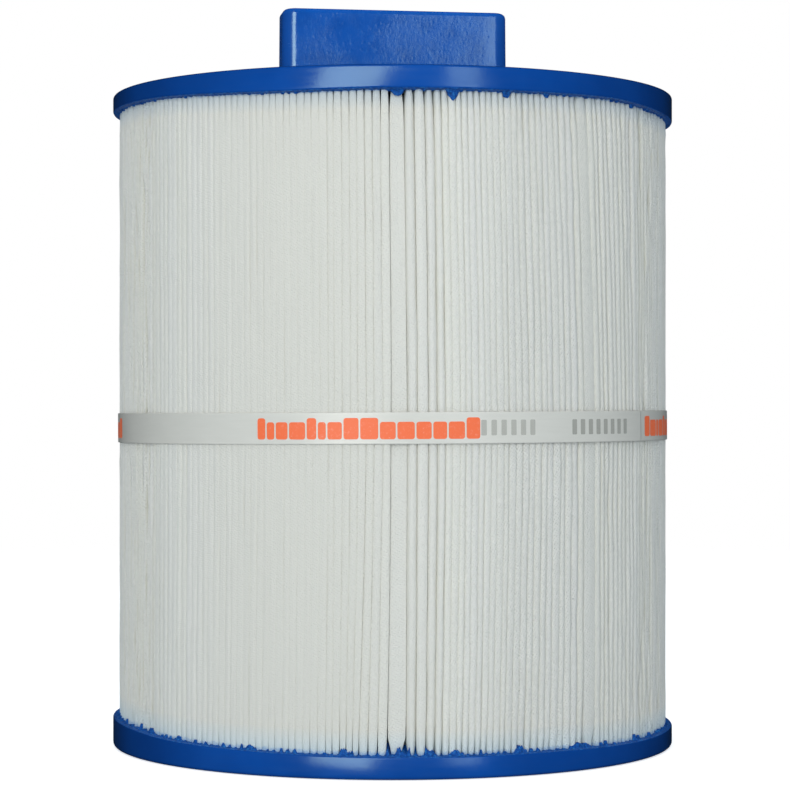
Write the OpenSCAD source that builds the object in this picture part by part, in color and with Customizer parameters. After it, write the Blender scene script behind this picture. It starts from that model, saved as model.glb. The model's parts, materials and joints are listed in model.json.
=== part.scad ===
// Pleated spa filter cartridge: two cast end caps, a perforated core, one pleated
// strip of filter cloth joined along a glued seam, and a printed strap around it.
// Millimetres, +Z up, origin at the centre of the face that the cartridge stands on.

/* [End caps] */
// Outside diameter of both end caps
cap_d = 214; // [212:1:230]
// Height from the standing face to the upper face of the top cap
body_h = 246.5; // [180:0.5:400]
// Height of the top cap's rim
top_cap_h = 8.2; // [7:0.1:14]
// Height of the bottom cap's rim
bottom_cap_h = 8; // [6:0.1:14]
// Depth to which the cloth and the core are potted in each cap
potting_depth = 4; // [2:0.5:5]
// Radius of the rims' outer edges
rim_round = 1.5; // [0.5:0.1:2]
// Diameter of the outlet hole in the bottom cap
outlet_d = 54; // [40:0.5:64]

/* [Handle] */
// Length of the cast handle along X
handle_length = 87; // [60:1:120]
// Thickness of the handle along Y
handle_depth = 20; // [18:1:50]
// Height of the handle above the top cap
handle_h = 33.6; // [20:0.1:50]
// Radius of the handle's upright corners
handle_corner = 5.6; // [3:0.1:8]
// Radius of the handle's upper edges
handle_edge = 2.6; // [1:0.1:4]

/* [Core] */
// Outside diameter of the core tube
core_d = 86; // [74:1:90]
// Wall thickness of the core tube
core_wall = 3; // [2:0.5:4]
// Number of windows around the core, an even number
window_columns = 12; // [8:2:14]
// Number of rows of windows
window_rows = 14; // [8:1:16]
// Width of one window
window_w = 13; // [8:0.5:14]
// Height of one window
window_h = 10; // [6:0.5:10]

/* [Filter cloth] */
// Number of pleats
pleats = 240; // [120:1:240]
// Thickness of the cloth
cloth_t = 0.4; // [0.2:0.05:0.4]
// Outside radius of the folds under the strap
tip_r = 104.7; // [96:0.1:104.7]
// Half the width of an outer fold
tip_half = 1.15; // [0.7:0.05:1.2]

/* [Strap] */
// Width of the strap
strap_w = 11; // [8:0.5:20]
// Thickness of one layer of the strap
strap_t = 0.4; // [0.3:0.05:0.6]
// Height of the strap's middle above the standing face
strap_z = 121.2; // [60:0.1:160]
// How far the strap leans from level, in degrees
strap_lean = 0.3; // [0:0.1:1]
// Angle over which the strap's ends overlap, in degrees
overlap_angle = 48; // [20:1:90]

/* [Hidden] */
$fn = 180;

cap_r = cap_d / 2;
core_r = core_d / 2;
core_inner_r = core_r - core_wall;
fit_gap = 0.2;                               // room around each potted piece
pocket_outer_r = tip_r + fit_gap;
pocket_inner_r = core_inner_r - fit_gap;
potted_z = bottom_cap_h - potting_depth;     // where the core and the cloth start
potted_top = body_h - top_cap_h + potting_depth;
potted_h = potted_top - potted_z;

fold_r = core_r + fit_gap;                   // inner folds, resting on the core
fold_half = 0.08;                            // half the gap inside an inner fold
seam_angle = 90;                             // the glued seam is at the back, +Y
seam_r = tip_r - 1.5;                        // where the strip's two ends stop
seam_half = 0.3;                             // half the glue's thickness at the ends
seam_inner_r = seam_r - 18;                  // the glue reaches this far in
overlap_start = -88;                         // direction in which the overlap begins
strap_gap = 0.05;                            // room between the strap and the folds

cap_color = [0.07, 0.27, 0.60];
cloth_color = [0.82, 0.83, 0.79];
core_color = [0.90, 0.90, 0.88];
glue_color = [0.85, 0.80, 0.62];
strap_color = [0.80, 0.82, 0.79];

function at(r, side, angle) =
    [r * cos(angle) - side * sin(angle), r * sin(angle) + side * cos(angle)];

function arc(x, y, r, from, to, steps = 4) =
    [for (i = [0:steps]) let (a = from + (to - from) * i / steps) [x + r * cos(a), y + r * sin(a)]];

// One cap standing on its flat face: a disc with a rounded rim and a ring-shaped
// pocket, open upward, in which the core and the cloth are potted.
module cap_casting(h, hole_r) {
    lip_round = rim_round / 2;
    rotate_extrude()
        polygon(concat(
            [[hole_r, 0]],
            arc(cap_r - rim_round, rim_round, rim_round, -90, 0),
            arc(cap_r - lip_round, h - lip_round, lip_round, 0, 90),
            [[pocket_outer_r, h], [pocket_outer_r, h - potting_depth]],
            [[pocket_inner_r, h - potting_depth], [pocket_inner_r, h], [hole_r, h]]
        ));
}

// A rectangle with round upper corners, centred in x and standing on y = 0.
module rounded_top(w, h, r) {
    square_h = h - r;
    translate([-w / 2, 0]) square([w, square_h]);
    translate([r - w / 2, 0]) square([w - 2 * r, h]);
    for (side = [-1, 1]) translate([side * (w / 2 - r), square_h]) circle(r);
}

// A rectangle with four round corners, centred on the origin.
module rounded_plan(w, d, r) {
    square([w - 2 * r, d], center = true);
    square([w, d - 2 * r], center = true);
    for (x = [-1, 1], y = [-1, 1]) translate([x * (w / 2 - r), y * (d / 2 - r)]) circle(r);
}

// The handle block: round upright corners, and rounded edges along its top.
module handle_block() {
    intersection() {
        linear_extrude(handle_h) rounded_plan(handle_length, handle_depth, handle_corner);
        rotate([90, 0, 0]) linear_extrude(2 * handle_depth, center = true)
            rounded_top(handle_length, handle_h, handle_edge);
        rotate([90, 0, 90]) linear_extrude(2 * handle_length, center = true)
            rounded_top(handle_depth, handle_h, handle_edge);
    }
}

module top_end_cap() {
    sunk = 1;    // the handle is cast in one piece with the cap
    color(cap_color) {
        translate([0, 0, body_h]) mirror([0, 0, 1]) cap_casting(top_cap_h, 0);
        translate([0, 0, body_h - sunk])
            linear_extrude(sunk) rounded_plan(handle_length, handle_depth, handle_corner);
        translate([0, 0, body_h]) handle_block();
    }
}

module bottom_end_cap() {
    color(cap_color) cap_casting(bottom_cap_h, outlet_d / 2);
}

// A moulded tube with rows of windows. Each bar cuts two windows, one on each side.
module core_tube() {
    pitch = potted_h / window_rows;
    color(core_color) difference() {
        translate([0, 0, potted_z]) cylinder(r = core_r, h = potted_h);
        translate([0, 0, potted_z - 1]) cylinder(r = core_inner_r, h = potted_h + 2);
        for (row = [0:window_rows - 1], column = [0:window_columns / 2 - 1])
            translate([0, 0, potted_z + (row + 0.5) * pitch])
                rotate(column * 360 / window_columns)
                    cube([core_d + 2, window_w, window_h], center = true);
    }
}

// The strip in plan: out and back along every pleat, from one side of the seam
// around to the other on the outer face, and back again on the inner face.
function fold_angle(i) = seam_angle + 360 / pleats * (i + 0.5);

function tip_angle(i) = seam_angle + 360 / pleats * i;

function outer_face() = [
    at(seam_r, seam_half + cloth_t, seam_angle),
    for (i = [0:pleats - 1]) each [
        at(fold_r + cloth_t, -fold_half, fold_angle(i)),
        at(fold_r + cloth_t, fold_half, fold_angle(i)),
        if (i < pleats - 1) each [
            at(tip_r - tip_half, -tip_half, tip_angle(i + 1)),
            at(tip_r, -tip_half / 2, tip_angle(i + 1)),
            at(tip_r, tip_half / 2, tip_angle(i + 1)),
            at(tip_r - tip_half, tip_half, tip_angle(i + 1)),
        ],
    ],
    at(seam_r, -seam_half - cloth_t, seam_angle),
];

function inner_face() = [
    at(seam_r, -seam_half, seam_angle),
    for (i = [pleats - 1:-1:0]) each [
        at(fold_r, fold_half + cloth_t, fold_angle(i)),
        at(fold_r, -fold_half - cloth_t, fold_angle(i)),
        if (i > 0) each [
            at(tip_r - tip_half, tip_half - cloth_t, tip_angle(i)),
            at(tip_r - cloth_t, tip_half / 2 - cloth_t / 2, tip_angle(i)),
            at(tip_r - cloth_t, cloth_t / 2 - tip_half / 2, tip_angle(i)),
            at(tip_r - tip_half, cloth_t - tip_half, tip_angle(i)),
        ],
    ],
    at(seam_r, seam_half, seam_angle),
];

module pleated_cloth() {
    color(cloth_color) translate([0, 0, potted_z])
        linear_extrude(potted_h) polygon(concat(outer_face(), inner_face()));
}

// Hot-melt glue between the strip's two end panels, as thick as the gap between them.
module cloth_seam() {
    panel_start = at(fold_r, -fold_half - cloth_t, 180 / pleats);
    slope = (seam_half - panel_start[1]) / (seam_r - panel_start[0]);
    inner_half = seam_half - slope * (seam_r - seam_inner_r);
    color(glue_color) translate([0, 0, potted_z]) linear_extrude(potted_h)
        polygon([for (p = [[seam_inner_r, -1], [seam_r, -1], [seam_r, 1], [seam_inner_r, 1]])
            at(p[0], p[1] * (p[0] == seam_r ? seam_half : inner_half), seam_angle)]);
}

// A ring of one layer, with a second layer where the strap's ends overlap.
module strap() {
    inner_r = tip_r + strap_gap;
    middle_r = inner_r + strap_t / 2;
    outer_r = inner_r + 2 * strap_t;
    color(strap_color) translate([0, 0, strap_z]) rotate([0, -strap_lean, 0]) {
        linear_extrude(strap_w, center = true) difference() {
            circle(inner_r + strap_t);
            circle(inner_r);
        }
        rotate(overlap_start) translate([0, 0, -strap_w / 2]) rotate_extrude(angle = overlap_angle)
            translate([middle_r, 0]) square([outer_r - middle_r, strap_w]);
    }
}

top_end_cap();
bottom_end_cap();
core_tube();
pleated_cloth();
cloth_seam();
strap();
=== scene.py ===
import json
import math

import bpy
import numpy as np
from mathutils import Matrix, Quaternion, Vector


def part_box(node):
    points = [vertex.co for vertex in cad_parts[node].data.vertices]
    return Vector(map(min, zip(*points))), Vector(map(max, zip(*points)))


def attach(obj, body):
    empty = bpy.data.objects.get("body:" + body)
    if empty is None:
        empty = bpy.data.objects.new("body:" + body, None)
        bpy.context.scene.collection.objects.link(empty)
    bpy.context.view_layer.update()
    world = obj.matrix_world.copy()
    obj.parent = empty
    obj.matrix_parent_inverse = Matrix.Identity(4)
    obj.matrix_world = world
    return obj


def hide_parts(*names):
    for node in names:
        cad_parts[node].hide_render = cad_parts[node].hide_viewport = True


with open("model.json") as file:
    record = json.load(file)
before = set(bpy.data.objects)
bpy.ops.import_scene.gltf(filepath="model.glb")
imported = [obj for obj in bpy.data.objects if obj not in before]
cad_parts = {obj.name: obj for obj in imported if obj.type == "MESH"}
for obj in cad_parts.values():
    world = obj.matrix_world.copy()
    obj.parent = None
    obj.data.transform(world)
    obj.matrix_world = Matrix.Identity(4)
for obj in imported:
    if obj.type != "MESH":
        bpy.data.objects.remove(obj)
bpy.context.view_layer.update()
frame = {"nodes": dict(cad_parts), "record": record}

# Metres, in the frame of the CAD model: +Z up, the cartridge stands on z = 0, the
# handle runs along X. Angles are in degrees and run counter-clockwise, seen from above:
# from +X, or from FRONT, the side that the camera sees, where they are called right.

# ---- Sizes -------------------------------------------------------------------

MM = 0.001
HANDLE_LENGTH = 87 * MM
HANDLE_DEPTH = 20 * MM
HANDLE_CORNER = 5.6 * MM
HANDLE_EDGE = 2.1 * MM
HANDLE_HEIGHT = 33.6 * MM
HANDLE_FLARE = 1.3 * MM     # radius of the fillet at its foot
HANDLE_DRAFT = 0.25 * MM    # each side leans in this far over the handle's height
TOP_CAP_HEIGHT = 8.2 * MM
POTTING_DEPTH = 4 * MM      # how deep the cloth and the core stand in each cap
PLEATS = 240
SEAM_ANGLE = 90.0           # the glued seam of the cloth is at the back
SEAM_DEPTH = 1.5 * MM       # the strip's ends stop this far inside the folds
GLUE_HALF = 0.3 * MM        # half the thickness of the glue between them
GLUE_DEPTH = 18 * MM        # how far in from them the glue reaches
STRAP_LAYER = 0.4 * MM
STRAP_WIDTH = 11 * MM
STRAP_LEAN = 0.3            # degrees
OVERLAP_START = -88.0       # where the strap's second layer begins
OVERLAP_ANGLE = 48.0
FRONT = -99.0               # the direction of the camera, seen from the axis
SQUEEZED = -18.0            # the pleats are pressed smooth around here, right of FRONT

top_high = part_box("top_end_cap")[1]
bottom_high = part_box("bottom_end_cap")[1]
core_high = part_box("core_tube")[1]
cloth_low, cloth_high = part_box("pleated_cloth")
strap_low, strap_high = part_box("strap")

CAP_R = top_high.x
TOP_FACE_Z = top_high.z - HANDLE_HEIGHT
TOP_LIP_Z = TOP_FACE_Z - TOP_CAP_HEIGHT
BOTTOM_LIP_Z = bottom_high.z
CORE_R = core_high.x
TIP_R = cloth_high.x        # the outer folds, under the strap
STRAP_Z = (strap_low.z + strap_high.z) / 2
OUTLET_R = next(m for m in frame["record"]["mounts"] if m["kind"] == "bore")["dims"]["r_mm"] * MM

random = np.random.default_rng(7)


# ---- Mesh helpers ------------------------------------------------------------

def grid_faces(rows, columns, around=False, first=0):
    """Quads between neighbouring rows and columns of points. around joins the last column to
    the first, and first is the number of the first point."""
    ways = columns if around else columns - 1
    r, c = np.meshgrid(np.arange(rows - 1), np.arange(ways), indexing="ij")
    right = (c + 1) % columns
    corners = [r * columns + c, r * columns + right, (r + 1) * columns + right, (r + 1) * columns + c]
    return (np.stack([k.ravel() for k in corners], axis=1) + first).tolist()


def tube_faces(rows, columns, first=0):
    """Quads around a tube's rows of points, and the two faces that close its ends."""
    last = first + (rows - 1) * columns
    start = list(range(first + columns - 1, first - 1, -1))
    end = list(range(last, last + columns))
    return grid_faces(rows, columns, around=True, first=first) + [start, end]


def turned_over(faces):
    """The same faces, facing the other way."""
    return [face[::-1] for face in faces]


def make_piece(name, points, faces, material, replaces=(), maps=()):
    """A smooth mesh that rides on the root body. maps are named UV maps with a pair for each
    point."""
    mesh = bpy.data.meshes.new(name)
    mesh.from_pydata(np.asarray(points, float).reshape(-1, 3).tolist(), [], faces)
    mesh.validate()
    mesh.shade_smooth()
    mesh.materials.append(material)
    corner = np.empty(len(mesh.loops), int)
    mesh.loops.foreach_get("vertex_index", corner)
    for label, pairs in dict(maps).items():
        layer = mesh.uv_layers.new(name=label)
        layer.data.foreach_set("uv", np.asarray(pairs, np.float32).reshape(-1, 2)[corner].ravel())
    obj = bpy.data.objects.new(name, mesh)
    bpy.context.collection.objects.link(obj)
    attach(obj, "root")
    if replaces:
        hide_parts(*replaces)
    return obj


def polar(radius, degrees, z):
    a = np.radians(degrees)
    return np.stack(np.broadcast_arrays(radius * np.cos(a), radius * np.sin(a), z), axis=-1)


def arc(x, y, radius, start, end, steps=6):
    """Points on an arc in a profile, as (distance from the axis, height)."""
    a = np.radians(np.linspace(start, end, steps + 1))
    return list(zip(x + radius * np.cos(a), y + radius * np.sin(a)))


def smooth_step(x, low, high):
    t = np.clip((x - low) / (high - low), 0, 1)
    return t * t * (3 - 2 * t)


def short_turn(degrees):
    """The same turn as an angle between -180 and 180 degrees."""
    return (degrees + 180) % 360 - 180


def hump(off, half):
    """A smooth hump of height 1, about as wide as half on each side."""
    return np.exp(-np.abs(off / half) ** 3)


def waves(x, counts, size):
    """Smooth random waves along x from 0 to 1, one row of random phases for each wave count."""
    total = 0
    for k in counts:
        phase = random.uniform(0, 2 * np.pi)
        total = total + random.normal(0, size) * np.sin(2 * np.pi * k * x + phase)
    return total


# ---- Material helpers --------------------------------------------------------

class Nodes:
    """A short way to build a material's node tree."""

    def __init__(self, name):
        self.material = bpy.data.materials.new(name)
        self.material.use_nodes = True
        self.tree = self.material.node_tree
        self.shader = self.tree.nodes["Principled BSDF"]

    def add(self, kind, settings=(), **inputs):
        node = self.tree.nodes.new("ShaderNode" + kind)
        for key, value in dict(settings).items():
            setattr(node, key, value)
        for key, value in inputs.items():
            self.put(node, key.replace("_", " "), value)
        return node

    def put(self, node, key, value):
        socket = node.inputs[int(key)] if key.isdigit() else node.inputs[key]
        if isinstance(value, bpy.types.NodeSocket):
            self.tree.links.new(value, socket)
        else:
            socket.default_value = value

    def set(self, **inputs):
        for key, value in inputs.items():
            self.put(self.shader, key.replace("_", " "), value)

    def place(self):
        return self.add("TexCoord").outputs["Object"]

    def uv(self, name):
        return self.add("UVMap", {"uv_map": name}).outputs["UV"]

    def noise(self, vector, scale, detail=2.0, roughness=0.5):
        node = self.add("TexNoise", Vector=vector, Scale=scale, Detail=detail, Roughness=roughness)
        return node.outputs["Fac"]

    def scaled(self, vector, size):
        return self.add("Mapping", Vector=vector, Scale=size).outputs["Vector"]

    def span(self, value, low, high, out_low, out_high):
        """out_low where value is low, out_high where it is high, and in between."""
        node = self.add("MapRange", {"clamp": True})
        for key, v in zip(range(5), (value, low, high, out_low, out_high)):
            self.put(node, str(key), v)
        return node.outputs["Result"]

    def math(self, operation, a, b=0.0):
        node = self.add("Math", {"operation": operation})
        self.put(node, "0", a)
        self.put(node, "1", b)
        return node.outputs[0]

    def mix(self, share, a, b):
        """Colour a, with a share of colour b. Sockets 6 and 7 are the node's two colours."""
        node = self.add("Mix", {"data_type": "RGBA"})
        for key, value in (("0", share), ("6", a), ("7", b)):
            self.put(node, key, value)
        return node.outputs[2]

    def bump(self, height, distance, strength=1.0, normal=None):
        node = self.add("Bump", Height=height, Distance=distance, Strength=strength)
        if normal is not None:
            self.put(node, "Normal", normal)
        return node.outputs["Normal"]


# ---- Materials ---------------------------------------------------------------

# The caps' resin. The first two lie under a clear layer, whose tint comes third.
CLEAR_BLUE = (0.003, 0.112, 0.600, 1)
CLEAR_DEEP_BLUE = (0.002, 0.088, 0.490, 1)
CLEAR_LAYER = (0.55, 0.58, 0.58, 1)
BLUE = (0.002, 0.064, 0.335, 1)
HANDLE_BLUE = (0.003, 0.080, 0.400, 1)
PALE_BLUE = (0.040, 0.190, 0.560, 1)
DARK_GRAIN = (0.001, 0.030, 0.130, 1)
PALE_GRAIN = (0.030, 0.220, 0.480, 1)
COOL_SHEEN = (0.70, 1.0, 1.0, 1)

# The filter cloth, painted shade on it in its grooves, where it is squeezed smooth and near the caps'
# lips, and the resin soaked into it near the caps.
COOL_WHITE = (0.880, 0.876, 0.856, 1)
WARM_WHITE = (0.892, 0.885, 0.832, 1)
# Painted shade: a duller white for the side where the pleats are squeezed smooth.
SQUEEZED_PAINTED_SHADE = (0.800, 0.790, 0.742, 1)
THIN_WHITE = (0.72, 0.73, 0.70, 1)
# Painted shade in the grooves between arched tips, darker and yellower.
PAINTED_GROOVE_SHADE = (0.62, 0.595, 0.44, 1)
THROUGH_YELLOW = (0.90, 0.87, 0.70, 1)
# Painted shade near the lower cap's lip, and painted shadow under the upper cap's lip, both bluish.
PAINTED_SHADE_BELOW = (0.55, 0.80, 0.98, 1)
PAINTED_SHADOW_ABOVE = (0.42, 0.60, 0.78, 1)
SOAKED_BLUE = (0.160, 0.400, 0.760, 1)
POINT_PITCH = 0.95 * MM     # between the rows of pressed points

FILM_WHITE = (0.740, 0.755, 0.725, 1)
FILM_STREAK = (0.810, 0.825, 0.797, 1)
ORANGE_INK = (0.88, 0.15, 0.045, 1)
GREY_INK = (0.38, 0.38, 0.35, 1)
FAINT_INK = (0.42, 0.42, 0.39, 1)


def cap_material(name, low, high, rough, clear_layer):
    """Cast polyurethane: satin, with a soft orange peel, cloudy patches and light scuffs. The
    clear layer on it is a little dark, which shows most where it is seen at a slant."""
    n = Nodes(name)
    place = n.place()
    clouds = n.noise(place, 35, 3)
    peel = n.noise(place, 700, 2)
    scuffs = n.noise(n.scaled(place, (1, 1, 14)), 60, 4, 0.7)
    n.set(Base_Color=n.mix(n.span(clouds, 0.35, 0.7, 0, 1), low, high),
          Roughness=n.span(scuffs, 0.4, 0.7, rough, rough + 0.10),
          IOR=1.88,
          Specular_Tint=COOL_SHEEN,
          Coat_Weight=clear_layer,
          Coat_IOR=1.1,
          Coat_Roughness=0.3,
          Coat_Tint=CLEAR_LAYER,
          Normal=n.bump(peel, 0.04 * MM, 0.4))
    return n.material


def handle_material():
    """The same casting where it left the mould crinkled: blotches, fine wrinkles and pinholes."""
    n = Nodes("crinkled_blue")
    place = n.place()
    blotches = n.noise(place, 110, 4, 0.6)
    patches = n.span(n.noise(place, 45, 2), 0.38, 0.62, 0, 1)
    wrinkles = n.noise(n.scaled(place, (1, 1, 0.45)), 850, 4, 0.65)
    pits = n.add("TexVoronoi", Vector=place, Scale=420.0).outputs["Distance"]
    rough = n.bump(n.span(pits, 0.0, 0.35, 0, 1), 0.05 * MM, 0.5,
                   n.bump(wrinkles, 0.09 * MM, patches, n.bump(blotches, 0.20 * MM, 0.5)))
    tone = n.mix(n.span(blotches, 0.30, 0.58, 0, 1), BLUE, HANDLE_BLUE)
    n.set(Base_Color=n.mix(n.span(wrinkles, 0.52, 0.72, 0, 0.20), tone, PALE_BLUE),
          Roughness=n.span(patches, 0, 1, 0.13, 0.19),
          IOR=1.7,
          Specular_Tint=COOL_SHEEN,
          Normal=rough)
    return n.material


def potting_material():
    """Resin that has crept along the pleats: grainy, with paler and darker lumps."""
    n = Nodes("potting_blue")
    place = n.place()
    grain = n.noise(place, 1300, 3, 0.75)
    tone = n.mix(n.span(grain, 0.36, 0.52, 0, 1), DARK_GRAIN, BLUE)
    n.set(Base_Color=n.mix(n.span(grain, 0.54, 0.68, 0, 0.8), tone, PALE_GRAIN),
          Roughness=0.5,
          IOR=1.3,
          Specular_Tint=COOL_SHEEN,
          Normal=n.bump(grain, 0.30 * MM, 0.9))
    return n.material


def toward_squeezed(n, place):
    """1 in the direction where the pleats are squeezed smooth, and less further around."""
    side = math.radians(FRONT + SQUEEZED)
    at = n.add("SeparateXYZ", Vector=place)
    across = n.math("MULTIPLY", at.outputs["X"], math.cos(side) / TIP_R)
    return n.math("ADD", across, n.math("MULTIPLY", at.outputs["Y"], math.sin(side) / TIP_R))


def pressed_points(n, cut):
    """Slanting rows of small pressed points, a little shaken: 1 in a point, 0 between them."""
    wobble = n.add("TexNoise", Vector=cut, Scale=300.0).outputs["Color"]
    shaken = n.add("VectorMath", {"operation": "MULTIPLY_ADD"})
    for key, value in (("0", wobble), ("1", (0.9 * MM, 0.9 * MM, 0)), ("2", cut)):
        n.put(shaken, key, value)
    points = 0
    for angle in (33, -58):
        turned = n.add("Mapping", Vector=shaken.outputs[0], Rotation=(0, 0, math.radians(angle)))
        slant = n.add("SeparateXYZ", Vector=turned.outputs["Vector"]).outputs["X"]
        wave = n.math("SINE", n.math("MULTIPLY", slant, 2 * math.pi / POINT_PITCH))
        points = n.math("ADD", wave, points)
    return n.span(points, 0.5, 1.7, 0, 1)


def cloth_white(n, cut, across, squeezed):
    """The cloth's colour: its own warm and cool streaks and thin spots, painted shade that makes it
    duller where it is squeezed smooth, and painted shade, darker and yellower, in the grooves between
    arched tips."""
    tints = n.noise(n.scaled(cut, (1, 0.08, 1)), 14, 2)
    white = n.mix(n.span(tints, 0.35, 0.65, 0, 1), COOL_WHITE, WARM_WHITE)
    # Painted shade: duller where the pleats are squeezed smooth.
    white = n.mix(n.span(squeezed, 0.86, 0.99, 0, 1), white, SQUEEZED_PAINTED_SHADE)
    spots = n.span(n.noise(n.scaled(cut, (1, 0.6, 1)), 720, 3, 0.6), 0.38, 0.62, 1, 0)
    thin = n.math("MULTIPLY", spots, n.span(squeezed, 0.74, 0.99, 0.28, 0.05))
    white = n.mix(thin, white, THIN_WHITE)
    # Painted shade in the grooves: darker and yellower towards each tip's edges, the more so the more
    # arched the tip.
    groove = n.math("MULTIPLY", n.span(across.outputs["X"], 0.50, 1.0, 0, 1), across.outputs["Y"])
    return n.mix(n.math("MULTIPLY", groove, 0.36), white, PAINTED_GROOVE_SHADE)


def soaked_cloth(n, place, ends, white):
    """The cloth near the caps: painted bluish shade near the lower lip and painted bluish shadow
    under the upper one, and resin that has soaked in along a ragged line.
    """
    ragged = n.noise(place, 520, 3, 0.8)
    low = n.math("SUBTRACT", ends.outputs["X"], n.span(ragged, 0.3, 0.7, 0.1 * MM, 1.3 * MM))
    high = n.math("SUBTRACT", ends.outputs["Y"], n.span(ragged, 0.3, 0.7, 0.1 * MM, 0.8 * MM))
    soaked_low = n.span(low, 0, 1.0 * MM, 0.6, 0)
    soaked_high = n.span(high, 0, 0.5 * MM, 0.5, 0)
    # Painted shade near the lower cap's lip and painted shadow under the upper cap's lip.
    shaded_near_lips = n.mix(n.span(ends.outputs["X"], 0, 9 * MM, 0.50, 0), white, PAINTED_SHADE_BELOW)
    shaded_near_lips = n.mix(n.span(ends.outputs["Y"], 0, 7 * MM, 0.45, 0), shaded_near_lips, PAINTED_SHADOW_ABOVE)
    return n.mix(n.math("MAXIMUM", soaked_low, soaked_high), shaded_near_lips, SOAKED_BLUE)


def cloth_material():
    """Spunbond polyester: white and slightly fuzzy, with creases, fibres and pressed points, and
    letting some light through. Its UV maps are cut, the place on the flat strip; ends, the
    distances from both caps' lips; and across, how far from its tip's middle a point is and how
    arched that tip is."""
    n = Nodes("filter_cloth")
    place = n.place()
    cut = n.uv("cut")
    ends = n.add("SeparateXYZ", Vector=n.uv("ends"))
    across = n.add("SeparateXYZ", Vector=n.uv("across"))
    squeezed = toward_squeezed(n, place)
    colour = soaked_cloth(n, place, ends, cloth_white(n, cut, across, squeezed))
    fibres = n.noise(n.scaled(cut, (1, 0.45, 1)), 1500, 4, 0.75)
    creases = n.noise(n.scaled(cut, (1, 0.03, 1)), 900, 3, 0.6)
    soft = n.bump(creases, 0.42 * MM, 0.8, n.bump(fibres, 0.28 * MM, 0.8))
    pressed = n.span(squeezed, 0.74, 0.99, 0.9, 0.42)
    normal = n.bump(pressed_points(n, cut), -0.36 * MM, pressed, soft)
    n.set(Base_Color=colour, Roughness=0.9, Normal=normal, Sheen_Weight=0.1, Sheen_Roughness=0.5,
          Specular_IOR_Level=0.15)
    through = n.add("BsdfTranslucent", Color=n.mix(0.5, colour, THROUGH_YELLOW), Normal=normal)
    both = n.add("MixShader")
    n.put(both, "0", 0.25)
    n.put(both, "1", n.shader.outputs[0])
    n.put(both, "2", through.outputs[0])
    n.tree.links.new(both.outputs[0], n.tree.nodes["Material Output"].inputs["Surface"])
    return n.material


def strap_material():
    """Milky film: smooth, streaky, and thin enough for the pleats to show a little."""
    n = Nodes("strap_film")
    place = n.place()
    streaks = n.noise(n.scaled(place, (1, 1, 12)), 90, 3)
    n.set(Base_Color=n.mix(streaks, FILM_WHITE, FILM_STREAK),
          Roughness=n.span(streaks, 0.3, 0.7, 0.28, 0.38),
          IOR=1.7,
          Coat_Weight=1.0,
          Coat_IOR=1.1,
          Coat_Roughness=0.3,
          Coat_Tint=(0.88, 0.86, 0.845, 1),
          Alpha=0.84,
          Normal=n.bump(n.noise(place, 260, 2), 0.15 * MM, 0.3))
    return n.material


def print_material(name, ink, alpha):
    """Screen-printed ink, a little patchy."""
    n = Nodes(name)
    patchy = n.noise(n.place(), 900, 3, 0.7)
    pale = tuple(0.55 * c + 0.45 for c in ink[:3]) + (1,)
    n.set(Base_Color=n.mix(n.span(patchy, 0.55, 0.9, 0, 0.4), ink, pale),
          Roughness=0.45,
          Alpha=alpha)
    return n.material


def core_material():
    """Moulded white plastic with faint flow marks."""
    n = Nodes("moulded_white")
    place = n.place()
    flow = n.noise(n.scaled(place, (1, 1, 0.2)), 120, 3)
    n.set(Base_Color=n.mix(flow, (0.74, 0.74, 0.70, 1), (0.80, 0.80, 0.77, 1)),
          Roughness=n.span(flow, 0.3, 0.7, 0.35, 0.5),
          Normal=n.bump(n.noise(place, 600), 0.05 * MM, 0.4))
    return n.material


def glue_material():
    """Hot-melt glue: amber, waxy and lumpy."""
    n = Nodes("hot_melt")
    lumps = n.noise(n.place(), 160, 3)
    n.set(Base_Color=n.mix(lumps, (0.62, 0.52, 0.28, 1), (0.78, 0.70, 0.46, 1)),
          Roughness=0.35,
          Normal=n.bump(lumps, 0.6 * MM, 0.6))
    return n.material


# ---- Lips of the caps --------------------------------------------------------

# The resin set while each cap's mould stood a little out of level, so the lips aren't
# level: (degrees right of FRONT, mm above the nominal height).
TOP_LIP = (
    (-90, 2.0), (-60, 1.8), (-52, 1.5), (-45, 1.1), (-38, 0.5), (-30, -0.1), (-20, -0.5), (-12, -0.4),
    (0, 0.0), (20, -0.1), (38, 0.2), (45, 0.6), (52, 0.4), (60, -0.4), (70, -1.1), (90, -1.9),
    (135, -1.2), (180, 0.0), (225, 1.2),
)
BOTTOM_LIP = (
    (-90, 3.5), (-80, 3.0), (-65, 2.6), (-60, 2.2), (-52, 1.3), (-38, 0.8), (-20, 0.3), (0, -0.1),
    (38, -0.2), (45, -0.6), (60, -0.8), (75, -0.4), (90, -0.2), (180, 0.8), (225, 2.4),
)


def lip_lift(lip, degrees):
    """How far a cap's lip is above its nominal height in each direction, in metres."""
    right, lift = np.array(lip).T
    spread = (-6, -3, 0, 3, 6)
    lifts = [np.interp(degrees - FRONT + step, right, lift, period=360) for step in spread]
    return sum(lifts) / len(spread) * MM


# ---- Pleated cloth -----------------------------------------------------------

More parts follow.
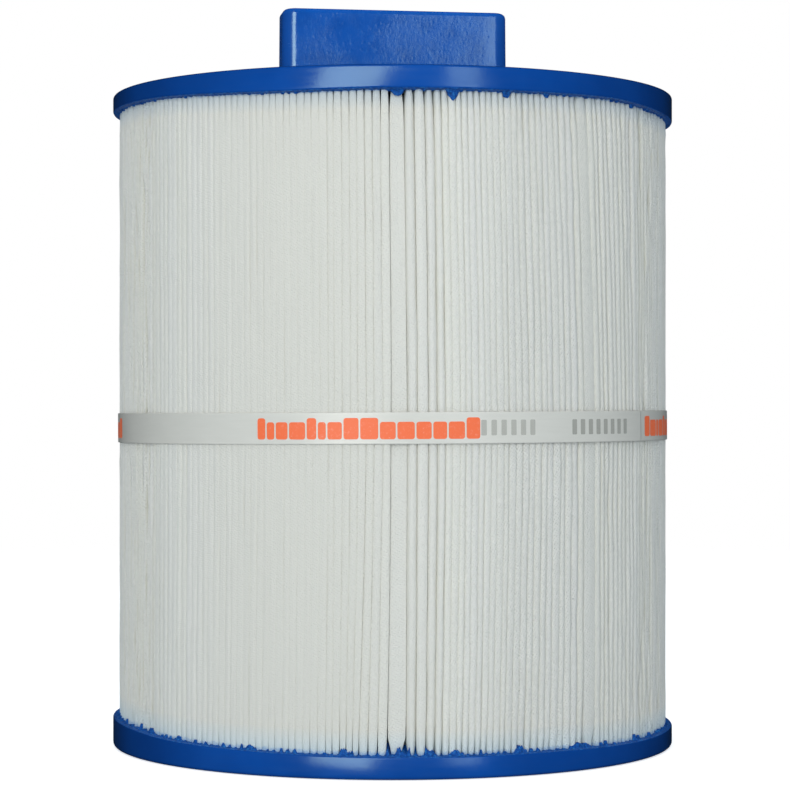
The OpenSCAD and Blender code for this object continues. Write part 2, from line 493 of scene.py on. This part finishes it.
# How the pleats lie around the cartridge, from the seam round to the seam: up to which
# direction, in degrees right of FRONT; how many pleats; the gap between their tips; how
# deep their arch is, as a share of half their width; how far they stay behind the others;
# how much wider the gap gets at the potted ends; and how much the tips are pinched there.
# The gaps and the last three are in mm.
PLEAT_ZONES = (
    (-75, 62, 0.05, 0.50, 0, 0.05, 0.12),
    (-55.2, 13, 0.07, 1.00, 0, 0.05, 0.12),
    (-40, 10, 0.012, 0.15, 0, 0.06, 0.12),
    (-25.5, 10, 0.012, 0.13, 0, 0.12, 0.15),
    (-12.5, 9, 0.012, 0.10, 0, 0.18, 0.18),
    (-5, 5, 0.015, 0.16, 0, 0.22, 0.25),
    (-0.33, 3, 0.04, 0.34, 0, 0.26, 0.40),
    (2.87, 1, 0.10, 0.08, 1.1, 0.26, 0.60),
    (8.8, 3, 0.055, 0.55, 0, 0.30, 0.55),
    (11.67, 2, 0.06, 0.55, 0, 0.30, 0.40),
    (24.5, 10, 0.025, 0.36, 0, 0.16, 0.28),
    (36, 8, 0.025, 0.34, 0, 0.14, 0.28),
    (41, 3, 0.04, 0.50, 0, 0.14, 0.28),
    (43.9, 1, 0.12, 0.12, 0.4, 0.20, 0.40),
    (60.2, 11, 0.04, 0.50, 0, 0.08, 0.20),
    (75, 10, 0.08, 0.90, 0, 0.08, 0.20),
    (188.25, 78, 0.05, 0.40, 0, 0.05, 0.12),
)
# How far the folds are drawn to the right at the strap, in degrees: (direction right of
# FRONT, against the potted end above, against the one below).
DRAWN_BY_STRAP = (
    (-171, 0.0, 0.0), (-80, 0.0, 0.0), (-60, 0.3, 0.4), (-10, 0.3, 0.6), (-5, 0.5, 1.6),
    (-0.3, 0.5, 0.9), (2.9, 0.7, 0.2), (10, 1.0, 0.8), (25, 1.5, 1.3), (36, 2.3, 0.9),
    (43, 2.7, 0.1), (50, 2.6, 0.0), (61, 1.3, 0.0), (80, 0.0, 0.0), (189, 0.0, 0.0),
)
CLOTH_ROWS = 27             # rows of points from the lower end of the cloth to the upper one
ARCH = (-1, -0.98, -0.75, -0.4, 0, 0.4, 0.75, 0.98, 1)      # places across a tip
ENDS = 9 * MM               # the potted ends hold the folds narrow over this height
OPENED_OVER = 8 * MM        # and their wider gaps close over this one
PINCHED_OVER = 3.2 * MM     # and their pinched tips widen over this one
POTTED_HALF = 0.8           # half the width of the widest potted tip, in degrees
FOLD_R = CORE_R + 0.3 * MM
FOLD_ROUND = 0.25 * MM      # how far the sides of an inner fold stand out from its middle
FOLD_HALF = 0.12            # half the width of an inner fold, in degrees
END_LEAN = 0.3              # how far the strip's end panels bow aside, in degrees
MM_TO_DEGREES = math.degrees(MM / TIP_R)


def zone_pleats():
    """The directions between neighbouring tips at the strap, and the shape of each tip."""
    edges = [SEAM_ANGLE - FRONT - 360 + 180 / PLEATS]
    shapes = []
    for end, count, *shape in PLEAT_ZONES:
        edges += list(np.linspace(edges[-1], end, count + 1)[1:])
        shapes += [shape] * count
    edges = np.array(edges)
    edges[1:-1] += random.normal(0, 0.04, PLEATS - 2) * np.diff(edges)[1:]
    return edges, np.array(shapes).T[:, :, None]


def heights():
    """Rows of points, closer together towards the potted ends."""
    t = np.linspace(0, 1, CLOTH_ROWS)
    t = t - 0.11 * np.sin(2 * np.pi * t)
    return cloth_low.z + t * (cloth_high.z - cloth_low.z)


def drawn_aside(edges, z):
    """The directions between the tips in each row, drawn aside by the strap and wandering."""
    right, at_top, at_bottom = np.array(DRAWN_BY_STRAP).T
    above = np.clip((z - STRAP_Z) / (z[-1] - STRAP_Z), 0, 1) ** 1.4
    below = np.clip((STRAP_Z - z) / (STRAP_Z - z[0]), 0, 1) ** 1.4
    shift = (np.interp(edges, right, at_top)[:, None] * above
             + np.interp(edges, right, at_bottom)[:, None] * below)
    t = (z - z[0]) / (z[-1] - z[0])
    wander = np.array([waves(t, (0.5, 1, 2), 0.035) for _ in edges]) * np.sin(np.pi * t)
    wander[[0, -1]] = 0
    return FRONT + edges[:, None] - shift + wander


def lay_pleats(z):
    """For every tip and row: its direction and half-width in degrees, its radius, how deep its
    arch is and how much further out its right edge is. Then the directions between the tips."""
    edges, (gaps, arches, behind, opened, pinched) = zone_pleats()
    edges = drawn_aside(edges, z)
    from_lip = np.clip(np.minimum(z - BOTTOM_LIP_Z, TOP_LIP_Z - z), 0, None)
    closed = smooth_step(from_lip, 0, ENDS)
    gaps = gaps + opened * np.exp(-from_lip / OPENED_OVER)
    gaps = gaps + 2 * pinched * np.exp(-from_lip / PINCHED_OVER)
    gaps = gaps * random.uniform(0.5, 1.5, (PLEATS - 1, 1)) * MM_TO_DEGREES
    width = edges[1:] - edges[:-1]
    centre = (edges[1:] + edges[:-1]) / 2
    half = np.minimum((width - gaps) / 2, POTTED_HALF + 2 * closed)
    arches = arches * random.uniform(0.6, 1.4, arches.shape) + 0.22 * (1 - closed)
    uneven = (0.02 + 0.35 * arches) * MM
    tips = TIP_R - (behind * MM + np.abs(random.normal(0, 1, arches.shape)) * uneven)
    t = (z - z[0]) / (z[-1] - z[0])
    tips = tips - np.abs(np.array([waves(t, (1, 2, 3), 0.5) for _ in centre])) * uneven
    depth = arches * np.radians(half) * TIP_R
    skew = random.normal(0, 1, arches.shape) * uneven
    return (centre, half, tips, depth, skew + 0 * half), edges


def fold_columns(direction, z):
    """The inner fold on the core."""
    return [polar(FOLD_R + (FOLD_ROUND if side else 0), direction + FOLD_HALF * side, z)
            for side in (-1, 0, 1)]


def tip_columns(centre, half, tip, depth, skew, z):
    """The outer fold: a shallow arch, with one edge a little further out than the other."""
    radii = [np.minimum(tip - depth * s * s + skew * s, TIP_R) for s in ARCH]
    return [polar(radius, centre + half * s, z) for radius, s in zip(radii, ARCH)]


def cloth_columns(z):
    """The strip's cross-section, column after column, from one end of the strip to the other.
    Then, for each point, how far from its tip's middle it is and how arched that tip is. Then
    the directions between the tips."""
    tips, edges = lay_pleats(z)
    roots = SEAM_ANGLE - 360 + 360 / PLEATS * (np.arange(PLEATS) + 0.5)
    glued_r = TIP_R - SEAM_DEPTH
    glued = math.degrees((GLUE_HALF + 0.1 * MM) / glued_r)
    start = SEAM_ANGLE - 360 + glued
    end = SEAM_ANGLE - glued
    middle_r = (FOLD_R + TIP_R) / 2
    columns = [polar(glued_r, start, z), polar(middle_r, start + END_LEAN, z)]
    columns += fold_columns(roots[0], z)
    across = [np.ones((len(z), 2))] * len(columns)
    for k, (centre, half, tip, depth, skew) in enumerate(zip(*tips)):
        columns.append(polar(middle_r, (roots[k] + FOLD_HALF + centre - half) / 2, z))
        columns += tip_columns(centre, half, tip, depth, skew, z)
        columns.append(polar(middle_r, (roots[k + 1] - FOLD_HALF + centre + half) / 2, z))
        columns += fold_columns(roots[k + 1], z)
        arched = depth / (np.radians(half) * TIP_R)
        on_tip = [np.stack([np.full_like(z, abs(s)), arched], axis=-1) for s in ARCH]
        across += [on_tip[0]] + on_tip + [on_tip[-1]] * 4
    columns += [polar(middle_r, end - END_LEAN, z), polar(glued_r, end, z)]
    across += [across[-1]] * 2
    return np.stack(columns, axis=1), np.stack(across, axis=1), edges


def pleated_cloth():
    """Makes the strip, and returns the directions between its tips at the lower and the upper
    end."""
    z = heights()
    points, across, edges = cloth_columns(z)
    steps = np.linalg.norm(np.diff(points[CLOTH_ROWS // 2], axis=0), axis=1)
    along = np.concatenate([[0], np.cumsum(steps)])
    cut = np.stack(np.broadcast_arrays(along[None, :], z[:, None]), axis=-1)
    direction = np.degrees(np.arctan2(points[..., 1], points[..., 0]))
    from_bottom = points[..., 2] - BOTTOM_LIP_Z - lip_lift(BOTTOM_LIP, direction)
    from_top = TOP_LIP_Z + lip_lift(TOP_LIP, direction) - points[..., 2]
    maps = {"cut": cut, "ends": np.stack([from_bottom, from_top], axis=-1), "across": across}
    faces = grid_faces(*points.shape[:2])
    cloth = make_piece("pleated_cloth_strip", points, faces, cloth_material(),
                       ["pleated_cloth"], maps)
    return edges[:, 0], edges[:, -1]


# ---- End caps ----------------------------------------------------------------

def revolve(profile, lip_height, lip, steps=288):
    """Rows of points: a cap's profile turned about the axis. The rim's outer part near the lip
    follows the lip's own heights."""
    radius, height = np.array(profile).T[:, :, None]
    angles = np.linspace(0, 360, steps, endpoint=False)[None, :]
    at_lip = (np.abs(height - lip_height) < 1.2 * MM) & (radius > TIP_R)
    return polar(radius, angles, height + np.where(at_lip, lip_lift(lip, angles), 0))


CENTRE_R = 3 * MM           # radius of the flat face that closes a cap without a hole
HOLE_ROUND = 0.6 * MM       # radius of the outlet hole's edge
FACE_RINGS = (34, 44, 60, 76, 90, 100)      # radii in mm of the rows of points on a cap's face


def cap_profile(height, hole_r, rim_round, lip_round):
    """Half the section of a cap that stands on its flat face, from the hole round to the hole.
    The last two are the radii of the rim's edges, at the face and at the lip."""
    pocket = height - POTTING_DEPTH
    lip_r = TIP_R + 0.2 * MM
    inner_r = CORE_R - 3.2 * MM     # the core's inside, less a little room
    start_r = max(hole_r, CENTRE_R)
    face = [(start_r, 0.0)]
    closing = []
    if hole_r > 0:
        face = arc(hole_r + HOLE_ROUND, HOLE_ROUND, HOLE_ROUND, 180, 270)
        closing = [(hole_r, HOLE_ROUND)]
    rings = [(r * MM, 0.0) for r in FACE_RINGS if r * MM > hole_r]
    rim = arc(CAP_R - rim_round, rim_round, rim_round, -90, 0)
    lip = arc(CAP_R - lip_round, height - lip_round, lip_round, 0, 90)
    inside = [(lip_r + 0.3 * MM, height), (lip_r, height - 0.3 * MM), (lip_r, pocket),
              (inner_r, pocket), (inner_r, height), (start_r, height)]
    return face + rings + rim + lip + inside + closing


def rounded_rectangle(length, depth, radius, steps=10):
    """Points around a rectangle with round corners, centred on the origin, with more of them
    along its long sides."""
    far_x = length / 2 - radius
    far_y = depth / 2 - radius
    corners = ((far_x, far_y), (-far_x, far_y), (-far_x, -far_y), (far_x, -far_y))
    points = []
    for k, (x, y) in enumerate(corners):
        turn = 90 * k
        points += arc(x, y, radius, turn, turn + 90, steps)
        start_x, start_y = points[-1]
        next_x, next_y = corners[(k + 1) % 4]
        end_x = next_x + radius * math.cos(math.radians(turn + 90))
        end_y = next_y + radius * math.sin(math.radians(turn + 90))
        spans = 12 if abs(end_x - start_x) > abs(end_y - start_y) else 4
        points += [(start_x + (end_x - start_x) * s / spans, start_y + (end_y - start_y) * s / spans)
                   for s in range(1, spans)]
    return np.array(points)


def handle_points():
    """The handle in levels, each as (how much it is wider than the handle, its height): a small
    flare at the foot, straight sides, a rounded edge, and the upper face, slightly hollow."""
    quarter = math.pi / 2
    foot = [(HANDLE_FLARE, -0.5 * MM)]
    foot += [(HANDLE_FLARE * (1 - math.sin(a)), HANDLE_FLARE * (1 - math.cos(a)))
             for a in np.linspace(0, quarter, 6)]
    sides = [(0.0, z) for z in np.linspace(HANDLE_FLARE, HANDLE_HEIGHT - HANDLE_EDGE, 12)[1:]]
    edge = [(-HANDLE_EDGE * (1 - math.cos(a)), HANDLE_HEIGHT - HANDLE_EDGE * (1 - math.sin(a)))
            for a in np.linspace(0, quarter, 8)[1:]]
    flat = [(-HANDLE_EDGE - inset * MM, HANDLE_HEIGHT) for inset in (1.5, 3.5, 5.5)]
    hollow = -HANDLE_EDGE - 3 * MM
    rows = []
    for grow, z in foot + sides + edge + flat:
        taper = -HANDLE_DRAFT * z / HANDLE_HEIGHT
        length = HANDLE_LENGTH + 2 * (grow + taper)
        depth = HANDLE_DEPTH + 2 * (grow + taper)
        corner = max(HANDLE_CORNER + grow + taper, 0.4 * MM)
        outline = rounded_rectangle(length, depth, corner)
        sink = -0.15 * MM if grow < hollow else 0
        rows.append(np.column_stack([outline, np.full(len(outline), TOP_FACE_Z + z + sink)]))
    return np.array(rows)


def top_cap(cast_blue):
    """The cap and its handle, one casting. Above its foot the handle's flat faces are crinkled
    and its corners smoother."""
    profile = cap_profile(TOP_FACE_Z - TOP_LIP_Z, 0.0, 1.1 * MM, 0.7 * MM)
    points = revolve([(r, TOP_FACE_Z - z) for r, z in profile], TOP_LIP_Z, TOP_LIP)
    handle = handle_points()
    faces = turned_over(tube_faces(*points.shape[:2]))
    points = points.reshape(-1, 3)
    faces += tube_faces(*handle.shape[:2], first=len(points))
    points = np.concatenate([points, handle.reshape(-1, 3)])
    cap = make_piece("top_cap_casting", points, faces, cast_blue, ["top_end_cap"])
    cap.data.materials.append(handle_material())
    cap.data.materials.append(cap_material("corner_blue", BLUE, HANDLE_BLUE, 0.19, 0.0))
    for polygon in cap.data.polygons:
        on_corner = min(abs(polygon.normal.x), abs(polygon.normal.y)) > 0.09
        if polygon.center.z > TOP_FACE_Z + 1.2 * MM:
            polygon.material_index = 2 if on_corner else 1


def bottom_cap(cast_blue):
    """The cap below, a ring around the outlet hole."""
    profile = cap_profile(BOTTOM_LIP_Z, OUTLET_R, 1.5 * MM, 0.6 * MM)
    points = revolve(profile, BOTTOM_LIP_Z, BOTTOM_LIP)
    faces = grid_faces(*points.shape[:2], around=True)
    make_piece("bottom_cap_casting", points, faces, cast_blue, ["bottom_end_cap"])


# ---- Resin around the pleats -------------------------------------------------

POTTING_ANGLES = np.linspace(0, 360, 2880, endpoint=False)

# The resin in section, from the cap's rim in over the tips and down between the pleats, and
# back below: distance from the axis, height from the lip, and the share of the creep and of
# the well between the pleats that this point rises by.
POTTING_SECTION = (
    (CAP_R - 0.12 * MM, -0.40 * MM, 0, 0),
    (CAP_R - 0.26 * MM, -0.07 * MM, 0.02, 0),
    (CAP_R - 0.6 * MM, 0.03 * MM, 0.05, 0),
    (TIP_R + 0.9 * MM, 0.05 * MM, 0.12, 0),
    (TIP_R + 0.4 * MM, 0.05 * MM, 0.45, 0),
    (TIP_R + 0.16 * MM, 0, 0.85, 0),
    (TIP_R + 0.01 * MM, 0, 1.0, 0),
    (TIP_R - 1.1 * MM, 0, 0.9, 0),
    (TIP_R - 2.6 * MM, 0, 0.8, 0.3),
    (TIP_R - 5 * MM, 0, 0.7, 1),
    (TIP_R - 9 * MM, 0, 0.3, 0.8),
    (TIP_R - 9 * MM, -1.2 * MM, 0, 0),
    (CAP_R - 0.12 * MM, -1.2 * MM, 0, 0),
    (CAP_R - 0.12 * MM, -0.40 * MM, 0, 0),
)
# Where the pleats drew the resin furthest: (degrees right of FRONT, half-width in degrees, mm).
TOP_WICKS = ((0.9, 1.3, 2.5), (11.5, 1.1, 3.8), (22.3, 0.8, 2.4), (31, 0.7, 1.8), (56, 0.7, 1.6))
BOTTOM_WICKS = ((-57, 0.8, 1.8), (-47, 0.8, 1.8), (-28.5, 1.2, 1.7), (-9, 1.1, 2.6), (-1.0, 0.4, 2.4),
                (1.6, 1.5, 2.7), (3.0, 0.4, 3.0), (6.5, 0.5, 2.8), (7.4, 0.9, 2.2),
                (12, 1.0, 1.9), (25, 1.0, 2.8), (39.5, 2.6, 2.0))


def creep(edges, on_tips, in_grooves, wicks, lumpy):
    """How far the resin has crept along the pleats in each of POTTING_ANGLES: little over the
    tips, further into each groove, and furthest at the wicks. lumpy tells how uneven it is."""
    angles = POTTING_ANGLES
    noise = np.tile(random.normal(0, 1, len(angles)), 3)
    coarse = np.convolve(noise, np.ones(5) / 2.3, "same")[len(angles):-len(angles)]
    grains = 0.1 * random.normal(0, 1, len(angles)) + 0.26 * coarse
    reach = on_tips * np.clip(1 + grains, 0.3, None)
    for where, height in zip(edges, in_grooves * random.gamma(2.2, 0.45, len(edges))):
        off = short_turn(angles - where)
        near = np.abs(off) < 1.5
        lump = min(height, 1.8 * in_grooves) * hump(off[near], random.uniform(0.3, 0.6))
        reach[near] = np.maximum(reach[near], lump * (1 + lumpy * grains[near]))
    for right, half, size in wicks:
        off = short_turn(angles - FRONT - right)
        reach = np.maximum(reach, size * MM * hump(off, half) * (1 + lumpy * grains))
    return reach


def potting_ring(name, material, lip_z, lip, direction, reach, deep):
    """The resin on a cap's lip and around the pleats. direction is +1 where it creeps upward.
    Deep in the grooves it stands higher by deep mm around the front."""
    well = deep * MM * hump(short_turn(POTTING_ANGLES - FRONT - 2), 9)
    lip_z = lip_z + lip_lift(lip, POTTING_ANGLES)
    points = [polar(r, POTTING_ANGLES, lip_z + direction * (base + share * reach + part * well))
              for r, base, share, part in POTTING_SECTION]
    faces = grid_faces(len(points), len(POTTING_ANGLES), around=True)
    if direction < 0:
        faces = turned_over(faces)
    make_piece(name, np.array(points), faces, material)


# ---- Strap -------------------------------------------------------------------

def strap_radius(turned):
    """The strap's middle radius, where turned counts degrees from its hidden inner end."""
    inner = TIP_R + 0.05 * MM + STRAP_LAYER / 2
    return inner + STRAP_LAYER * 1.05 * smooth_step(turned, 354, 360)


def strap_point(turned, radius, height):
    """A point on the strap, height above its middle line."""
    angle = OVERLAP_START + turned
    p = polar(radius, angle, height)
    lean = math.radians(STRAP_LEAN)
    x = p[..., 0] * math.cos(lean) - p[..., 2] * math.sin(lean)
    z = p[..., 0] * math.sin(lean) + p[..., 2] * math.cos(lean)
    return np.stack([x, p[..., 1], STRAP_Z + z], axis=-1)


def strap():
    """The film, wound once around and overlapped: a flat band with bevelled edges."""
    turned = np.linspace(0, 360 + OVERLAP_ANGLE, 1225)
    radius = strap_radius(turned)
    half_w = STRAP_WIDTH / 2
    half_t = STRAP_LAYER / 2
    bevel = 0.12 * MM
    flat = half_w - 3 * bevel
    outside = ((half_t, bevel - half_w), (half_t, -flat), (half_t, 0), (half_t, flat),
               (half_t, half_w - bevel), (half_t - bevel, half_w))
    inside = ((-half_t + bevel, half_w), (-half_t, half_w - bevel), (-half_t, 0),
              (-half_t, bevel - half_w), (-half_t + bevel, -half_w), (half_t - bevel, -half_w))
    points = np.stack([strap_point(turned, radius + out, np.full_like(turned, up))
                       for out, up in outside + inside], axis=1)
    faces = turned_over(tube_faces(*points.shape[:2]))
    make_piece("strap_film", points, faces, strap_material(), ["strap"])


def print_marks(name, marks, material):
    """Flat printed shapes on the strap. Each mark is a list of columns: degrees turned, and its
    lowest and highest point there."""
    points, faces = [], []
    for columns in marks:
        first = len(points)
        for turned, low, high in columns:
            outside = float(strap_radius(turned)) + STRAP_LAYER / 2 + 0.02 * MM
            points += [strap_point(turned, outside, low), strap_point(turned, outside, high)]
        faces += [[q, q + 2, q + 3, q + 1] for q in range(first, len(points) - 2, 2)]
    make_piece(name, np.array(points), faces, material)


def block(start, width, low, high, corner):
    """One printed block with round corners. start and width are in degrees."""
    columns = []
    round_share = min(corner / (math.radians(width) * TIP_R), 0.5)
    for s in (0, 0.1, 0.3, 0.6, 1):
        columns.append((s * round_share, corner * (1 - math.sqrt(1 - (1 - s) ** 2))))
    columns += [(0.5, 0.0)] + [(1 - share, inset) for share, inset in reversed(columns)]
    return [(start + share * width, low + inset, high - inset) for share, inset in columns]


def row_of_blocks(start, length):
    """A run of plain blocks of different widths and two heights, standing on one line."""
    gap = 0.30
    widths = random.uniform(1.5, 3.4, 15)
    widths *= (length - gap * 14) / widths.sum()
    blocks = []
    for k, width in enumerate(widths):
        high = 3.6 * MM if k in (0, 4, 7, 8, 14) else 2.2 * MM
        blocks.append(block(start, width, -3.8 * MM, high, 0.9 * MM))
        start += width + gap
    return blocks


def row_of_ticks(start, length, count):
    """A run of upright ticks on the strap's outer layer, one turn past its inner end."""
    pitch = length / count
    high = 2.7 * MM
    return [block(start + 360 + k * pitch, pitch * 0.55, -high, high, 0.4 * MM) for k in range(count)]


# ---- Glue, floor, light and camera -------------------------------------------

def seam_glue():
    """The bead between the strip's two ends, squeezed out a little along the edge."""
    rows = 120
    z = np.linspace(cloth_low.z, cloth_high.z, rows)
    ooze = 0.35 * MM + np.abs(waves(np.linspace(0, 1, rows), (5, 11, 17, 31), 0.25)) * MM
    edge = TIP_R - SEAM_DEPTH
    outline = ((-1, edge - GLUE_DEPTH), (-1, edge - 1 * MM), (-1.5, edge), (-0.9, edge + ooze),
               (0, edge + 1.3 * ooze), (0.9, edge + ooze), (1.5, edge), (1, edge - 1 * MM),
               (1, edge - GLUE_DEPTH))
    points = np.stack([np.stack(np.broadcast_arrays(side * GLUE_HALF, y, z), axis=-1)
                       for side, y in outline], axis=1)
    faces = turned_over(tube_faces(*points.shape[:2]))
    make_piece("seam_glue_bead", points, faces, glue_material(), ["cloth_seam"])


def floor():
    """A plain pale disc, just below the cartridge, that fades out into the white surroundings."""
    rings = 24
    steps = 96
    radius = 1.6
    r = np.linspace(0.001, radius, rings)[:, None]
    points = polar(r, np.linspace(0, 360, steps, endpoint=False)[None, :], -0.2 * MM)
    mesh = bpy.data.meshes.new("floor")
    mesh.from_pydata(points.reshape(-1, 3).tolist(), [], grid_faces(rings, steps, around=True))
    n = Nodes("floor_white")
    distance = n.add("VectorMath", {"operation": "LENGTH"})
    n.put(distance, "0", n.place())
    n.set(Base_Color=(0.80, 0.80, 0.80, 1),
          Roughness=0.7,
          Specular_IOR_Level=0.1,
          Emission_Color=(1, 1, 1, 1),
          Emission_Strength=0.62,
          Alpha=n.span(distance.outputs["Value"], 0.30, radius * 0.9, 1, 0))
    mesh.materials.append(n.material)
    obj = bpy.data.objects.new("floor", mesh)
    bpy.context.collection.objects.link(obj)
    obj.visible_diffuse = False
    obj.visible_glossy = False


def around(right, distance, z):
    """A point seen from the axis at an angle to the right of the camera's direction."""
    a = math.radians(FRONT + right)
    return Vector((distance * math.cos(a), distance * math.sin(a), z))


def softbox(name, right, distance, z, width, height, power, colour, tilt=0.0):
    """A rectangular light aimed at the cartridge and tilted in its own plane by some degrees."""
    data = bpy.data.lights.new(name, "AREA")
    data.shape = "RECTANGLE"
    data.size = width
    data.size_y = height
    data.energy = power
    data.color = colour
    lamp = bpy.data.objects.new(name, data)
    bpy.context.collection.objects.link(lamp)
    lamp.location = around(right, distance, z)
    lamp.rotation_mode = "QUATERNION"
    aim = (Vector((0, 0, 0.13)) - lamp.location).to_track_quat("-Z", "Y")
    lamp.rotation_quaternion = aim @ Quaternion((0, 0, 1), math.radians(tilt))
    return lamp


def surroundings():
    """White to the eye, dim and slightly cool on the cartridge, and dark in its reflections."""
    world = bpy.data.worlds.new("studio")
    bpy.context.scene.world = world
    world.use_nodes = True
    tree = world.node_tree
    dim = tree.nodes["Background"]
    dim.inputs["Color"].default_value = (0.82, 0.93, 1.0, 1)
    dim.inputs["Strength"].default_value = 0.62
    path = tree.nodes.new("ShaderNodeLightPath")
    dark = background_for(tree, path.outputs["Is Glossy Ray"], dim.outputs[0], (0.01, 0.02, 0.03, 1))
    seen = background_for(tree, path.outputs["Is Camera Ray"], dark, (1, 1, 1, 1))
    tree.links.new(seen, tree.nodes["World Output"].inputs["Surface"])


def background_for(tree, ray, otherwise, colour):
    """A background of this colour for one kind of ray, and another one otherwise."""
    plain = tree.nodes.new("ShaderNodeBackground")
    plain.inputs["Color"].default_value = colour
    mix = tree.nodes.new("ShaderNodeMixShader")
    tree.links.new(ray, mix.inputs[0])
    tree.links.new(otherwise, mix.inputs[1])
    tree.links.new(plain.outputs[0], mix.inputs[2])
    return mix.outputs[0]


def camera():
    """Level, a little above the cartridge's middle and a long way off, as a long lens sees it.
    Its place is the one that the curves of the photo's caps give."""
    data = bpy.data.cameras.new("camera")
    data.sensor_width = 36
    data.lens = 117.2
    data.shift_x = 0.0031
    data.shift_y = 0.0192
    cam = bpy.data.objects.new("camera", data)
    bpy.context.collection.objects.link(cam)
    cam.location = around(0, 9.26 * CAP_R, 1.19 * CAP_R)
    cam.rotation_euler = (math.radians(90), 0, math.radians(FRONT + 90))
    bpy.context.scene.camera = cam


# ---- Assembly ----------------------------------------------------------------

lower_edges, upper_edges = pleated_cloth()
cast_blue = cap_material("cast_blue", CLEAR_DEEP_BLUE, CLEAR_BLUE, 0.15, 1.0)
top_cap(cast_blue)
bottom_cap(cast_blue)

resin = potting_material()
reach = creep(upper_edges, 0.40 * MM, 0.50 * MM, TOP_WICKS, 0.25)
potting_ring("top_potting", resin, TOP_LIP_Z, TOP_LIP, -1, reach, 0)
reach = creep(lower_edges, 0.35 * MM, 0.95 * MM, BOTTOM_WICKS, 0.8)
potting_ring("bottom_potting", resin, BOTTOM_LIP_Z, BOTTOM_LIP, 1, reach, 2.5)

# The print is generic: blocks for the words and ticks for the numbers, four runs and two.
strap()
blocks = [mark for start in (50.2, 141.0, 231.7, 322.4) for mark in row_of_blocks(start, 43.3)]
print_marks("strap_print", blocks, print_material("orange_ink", ORANGE_INK, 0.93))
print_marks("strap_ticks", row_of_ticks(25.9, 17.2, 8), print_material("grey_ink", GREY_INK, 0.6))
print_marks("strap_ticks_showing_through", row_of_ticks(5.9, 12.2, 6),
            print_material("faint_ink", FAINT_INK, 0.4))

seam_glue()
core = frame["nodes"]["core_tube"]
core.data.materials.clear()
core.data.materials.append(core_material())

floor()
surroundings()
softbox("key", right=-15.8, distance=1.7, z=0.455, width=0.74, height=1.4, power=15.0,
        colour=(1.0, 0.985, 0.925), tilt=-12)
softbox("fill", right=27.5, distance=1.8, z=0.50, width=0.40, height=1.4, power=4.0,
        colour=(0.98, 1.0, 1.0))
without_glints = (
    softbox("overhead", right=0, distance=0.3, z=1.7, width=1.4, height=1.4, power=8,
            colour=(1.0, 1.0, 1.0)),
    softbox("raking_left", right=-66, distance=1.8, z=0.30, width=0.25, height=1.2, power=0.5,
            colour=(0.97, 0.99, 1.0)),
    softbox("raking_right", right=30, distance=1.8, z=0.30, width=0.25, height=1.2, power=2.3,
            colour=(1.0, 0.99, 0.98)),
)
for lamp in without_glints:
    lamp.visible_glossy = False
camera()
bpy.context.scene.view_settings.view_transform = "Standard"      # whites stay white
